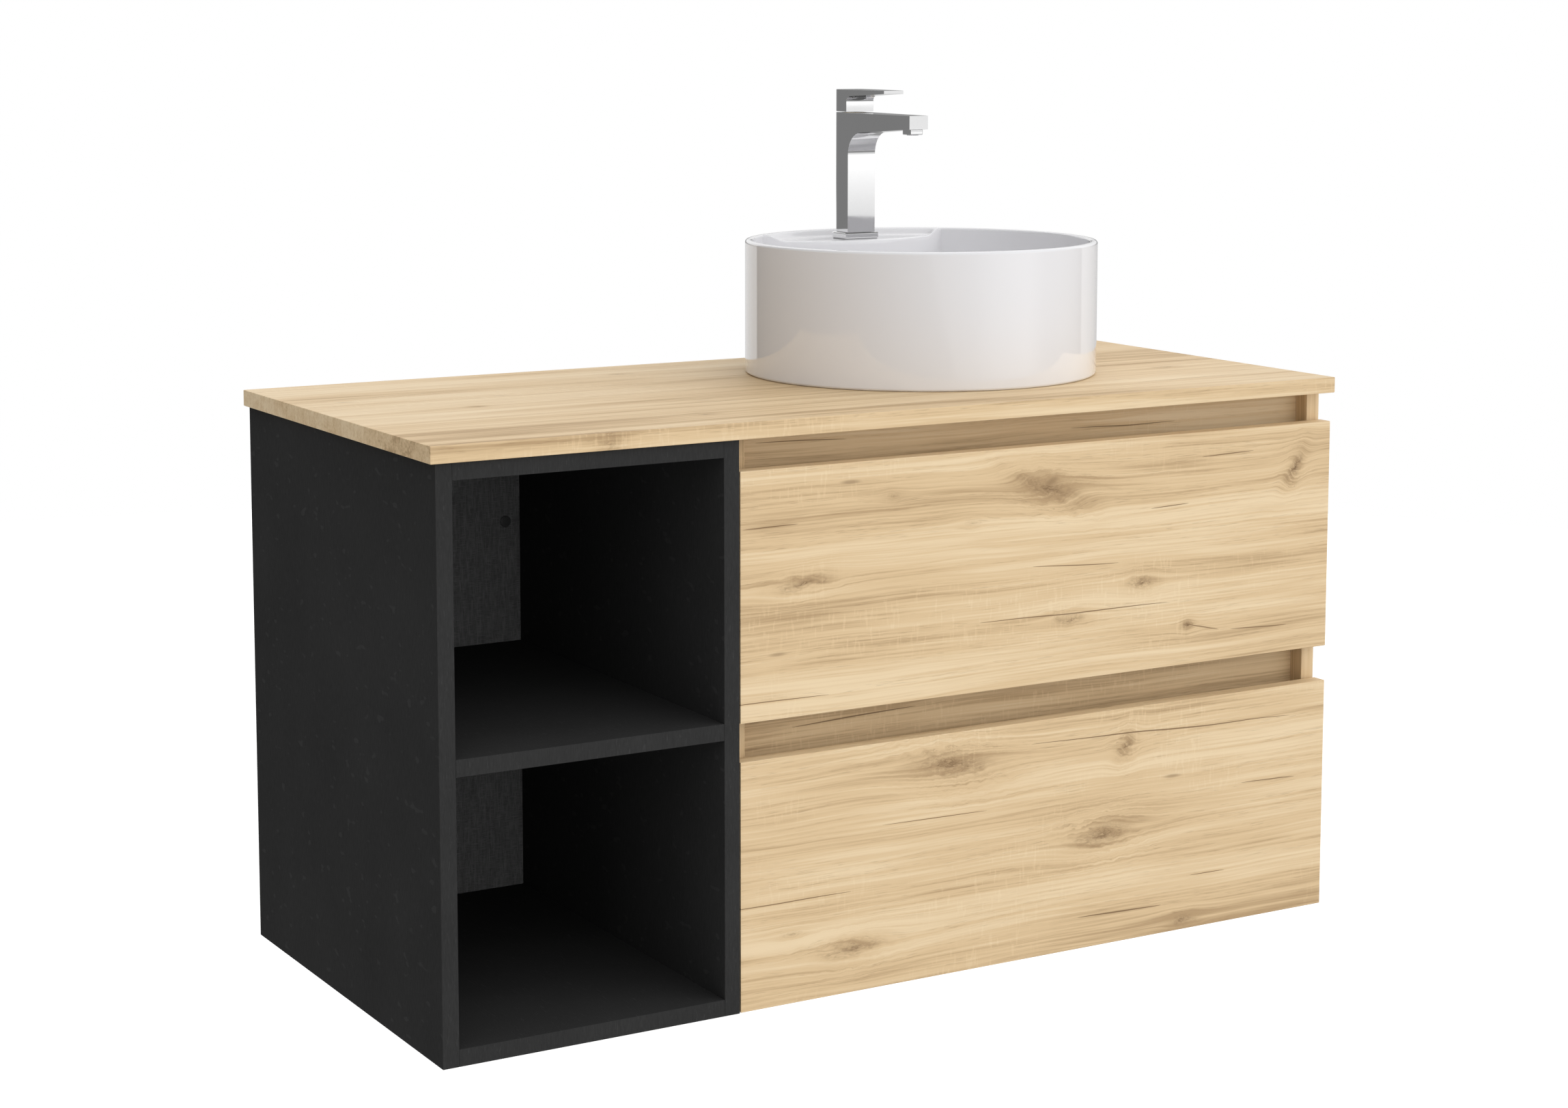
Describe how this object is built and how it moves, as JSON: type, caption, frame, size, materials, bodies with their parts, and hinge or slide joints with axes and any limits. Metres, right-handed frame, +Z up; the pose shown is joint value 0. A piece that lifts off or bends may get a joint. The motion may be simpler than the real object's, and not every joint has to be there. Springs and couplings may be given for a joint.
{
  "type": "vessel sink on vanity",
  "caption": "Wall-hung oak vanity with an open black shelf unit, handle-less drawers with grip recesses, and a round white vessel basin with a square single-lever mixer.",
  "frame": {"origin": "on the wall plane, half way along the worktop, at mid height of the drawer cabinet's wall rail", "axes": "+X to the right along the worktop as seen from the room, +Y into the wall, +Z up"},
  "size_m": [1.008, 0.46, 0.8475],
  "materials": {
    "oak_top": "oiled golden oak, grain along the worktop, satin",
    "oak_front": "knotty golden oak, horizontal grain, fine dark cracks, satin",
    "oak_carcass": "golden oak boards, vertical grain on the side edges, satin",
    "black_board": "matt black faced board",
    "linen_board": "anthracite board with a fine woven texture",
    "white_glaze": "gloss white glaze",
    "chrome": "polished",
    "brass": "machined, unplated",
    "zinc_steel": "zinc plated",
    "runner_steel": "galvanised",
    "white_plastic": "moulded",
    "grey_plastic": "moulded",
    "black_plastic": "moulded"
  },
  "bodies": {
    "washstand": {"basin": "white_glaze", "cabinet_bottom_panel": "oak_carcass", "cabinet_bracket_left": "zinc_steel", "cabinet_bracket_right": "zinc_steel", "cabinet_left_side": "oak_carcass", "cabinet_middle_grip_rail": "oak_carcass", "cabinet_rear_rail_lower": "oak_carcass", "cabinet_rear_rail_upper": "oak_carcass", "cabinet_right_side": "oak_carcass", "cabinet_top_grip_rail": "oak_carcass", "cabinet_wall_rail": "zinc_steel", "hanger_cap_left": "black_plastic", "hanger_cap_right": "black_plastic", "lower_runner_fixed_left": "runner_steel", "lower_runner_fixed_right": "runner_steel", "mixer_aerator": "chrome", "mixer_base_plate": "chrome", "mixer_body": "chrome", "mixer_cartridge": "grey_plastic", "mixer_fixing_nut": "brass", "mixer_shank": "brass", "shelf_back_panel": "linen_board", "shelf_bottom_panel": "black_board", "shelf_bracket_left": "zinc_steel", "shelf_bracket_right": "zinc_steel", "shelf_left_side": "black_board", "shelf_middle_panel": "black_board", "shelf_right_side": "black_board", "shelf_top_panel": "black_board", "shelf_wall_rail": "zinc_steel", "trap_body": "white_plastic", "trap_cup": "white_plastic", "trap_outlet_pipe": "white_plastic", "trap_wall_flange": "white_plastic", "upper_runner_fixed_left": "runner_steel", "upper_runner_fixed_right": "runner_steel", "waste_body": "chrome", "waste_nut": "brass", "worktop": "oak_top"},
    "lower_drawer": {"lower_drawer_back": "linen_board", "lower_drawer_bottom": "linen_board", "lower_drawer_front": "oak_front", "lower_drawer_left_side": "linen_board", "lower_drawer_right_side": "linen_board", "lower_runner_drawer_left": "runner_steel", "lower_runner_drawer_right": "runner_steel"},
    "lower_runners": {"lower_runner_middle_left": "runner_steel", "lower_runner_middle_right": "runner_steel"},
    "mixer_lever": {"mixer_lever": "chrome"},
    "mixer_spindle": {"mixer_spindle": "brass"},
    "upper_drawer": {"upper_drawer_back": "linen_board", "upper_drawer_bottom": "linen_board", "upper_drawer_front": "oak_front", "upper_drawer_left_side": "linen_board", "upper_drawer_right_side": "linen_board", "upper_runner_drawer_left": "runner_steel", "upper_runner_drawer_right": "runner_steel"},
    "upper_runners": {"upper_runner_middle_left": "runner_steel", "upper_runner_middle_right": "runner_steel"},
    "waste_plug": {"waste_plug": "chrome"}
  },
  "joints": [
    {"name": "upper_drawer_slide", "type": "slide", "parent": "washstand", "child": "upper_drawer", "axis": [0, -1, 0], "range_m": [0, 0.34]},
    {"name": "upper_runner_slide", "type": "slide", "parent": "washstand", "child": "upper_runners", "axis": [0, -1, 0], "range_m": [0, 0.17]},
    {"name": "lower_drawer_slide", "type": "slide", "parent": "washstand", "child": "lower_drawer", "axis": [0, -1, 0], "range_m": [0, 0.34]},
    {"name": "lower_runner_slide", "type": "slide", "parent": "washstand", "child": "lower_runners", "axis": [0, -1, 0], "range_m": [0, 0.17]},
    {"name": "mixer_turn", "type": "hinge", "parent": "washstand", "child": "mixer_spindle", "pos_m": [0.1645, -0.067, 0.336], "axis": [0, 0, 1], "range_deg": [-45, 45]},
    {"name": "mixer_lift", "type": "hinge", "parent": "mixer_spindle", "child": "mixer_lever", "pos_m": [0.1645, -0.06, 0.34], "axis": [-1, 0, 0], "range_deg": [0, 22]},
    {"name": "waste_plug_lift", "type": "slide", "parent": "washstand", "child": "waste_plug", "axis": [0, 0, 1], "range_m": [0, 0.008]}
  ],
  "couplings": [
    {"joint": "upper_runner_slide", "follows": "upper_drawer_slide", "ratio": 0.5},
    {"joint": "lower_runner_slide", "follows": "lower_drawer_slide", "ratio": 0.5}
  ]
}
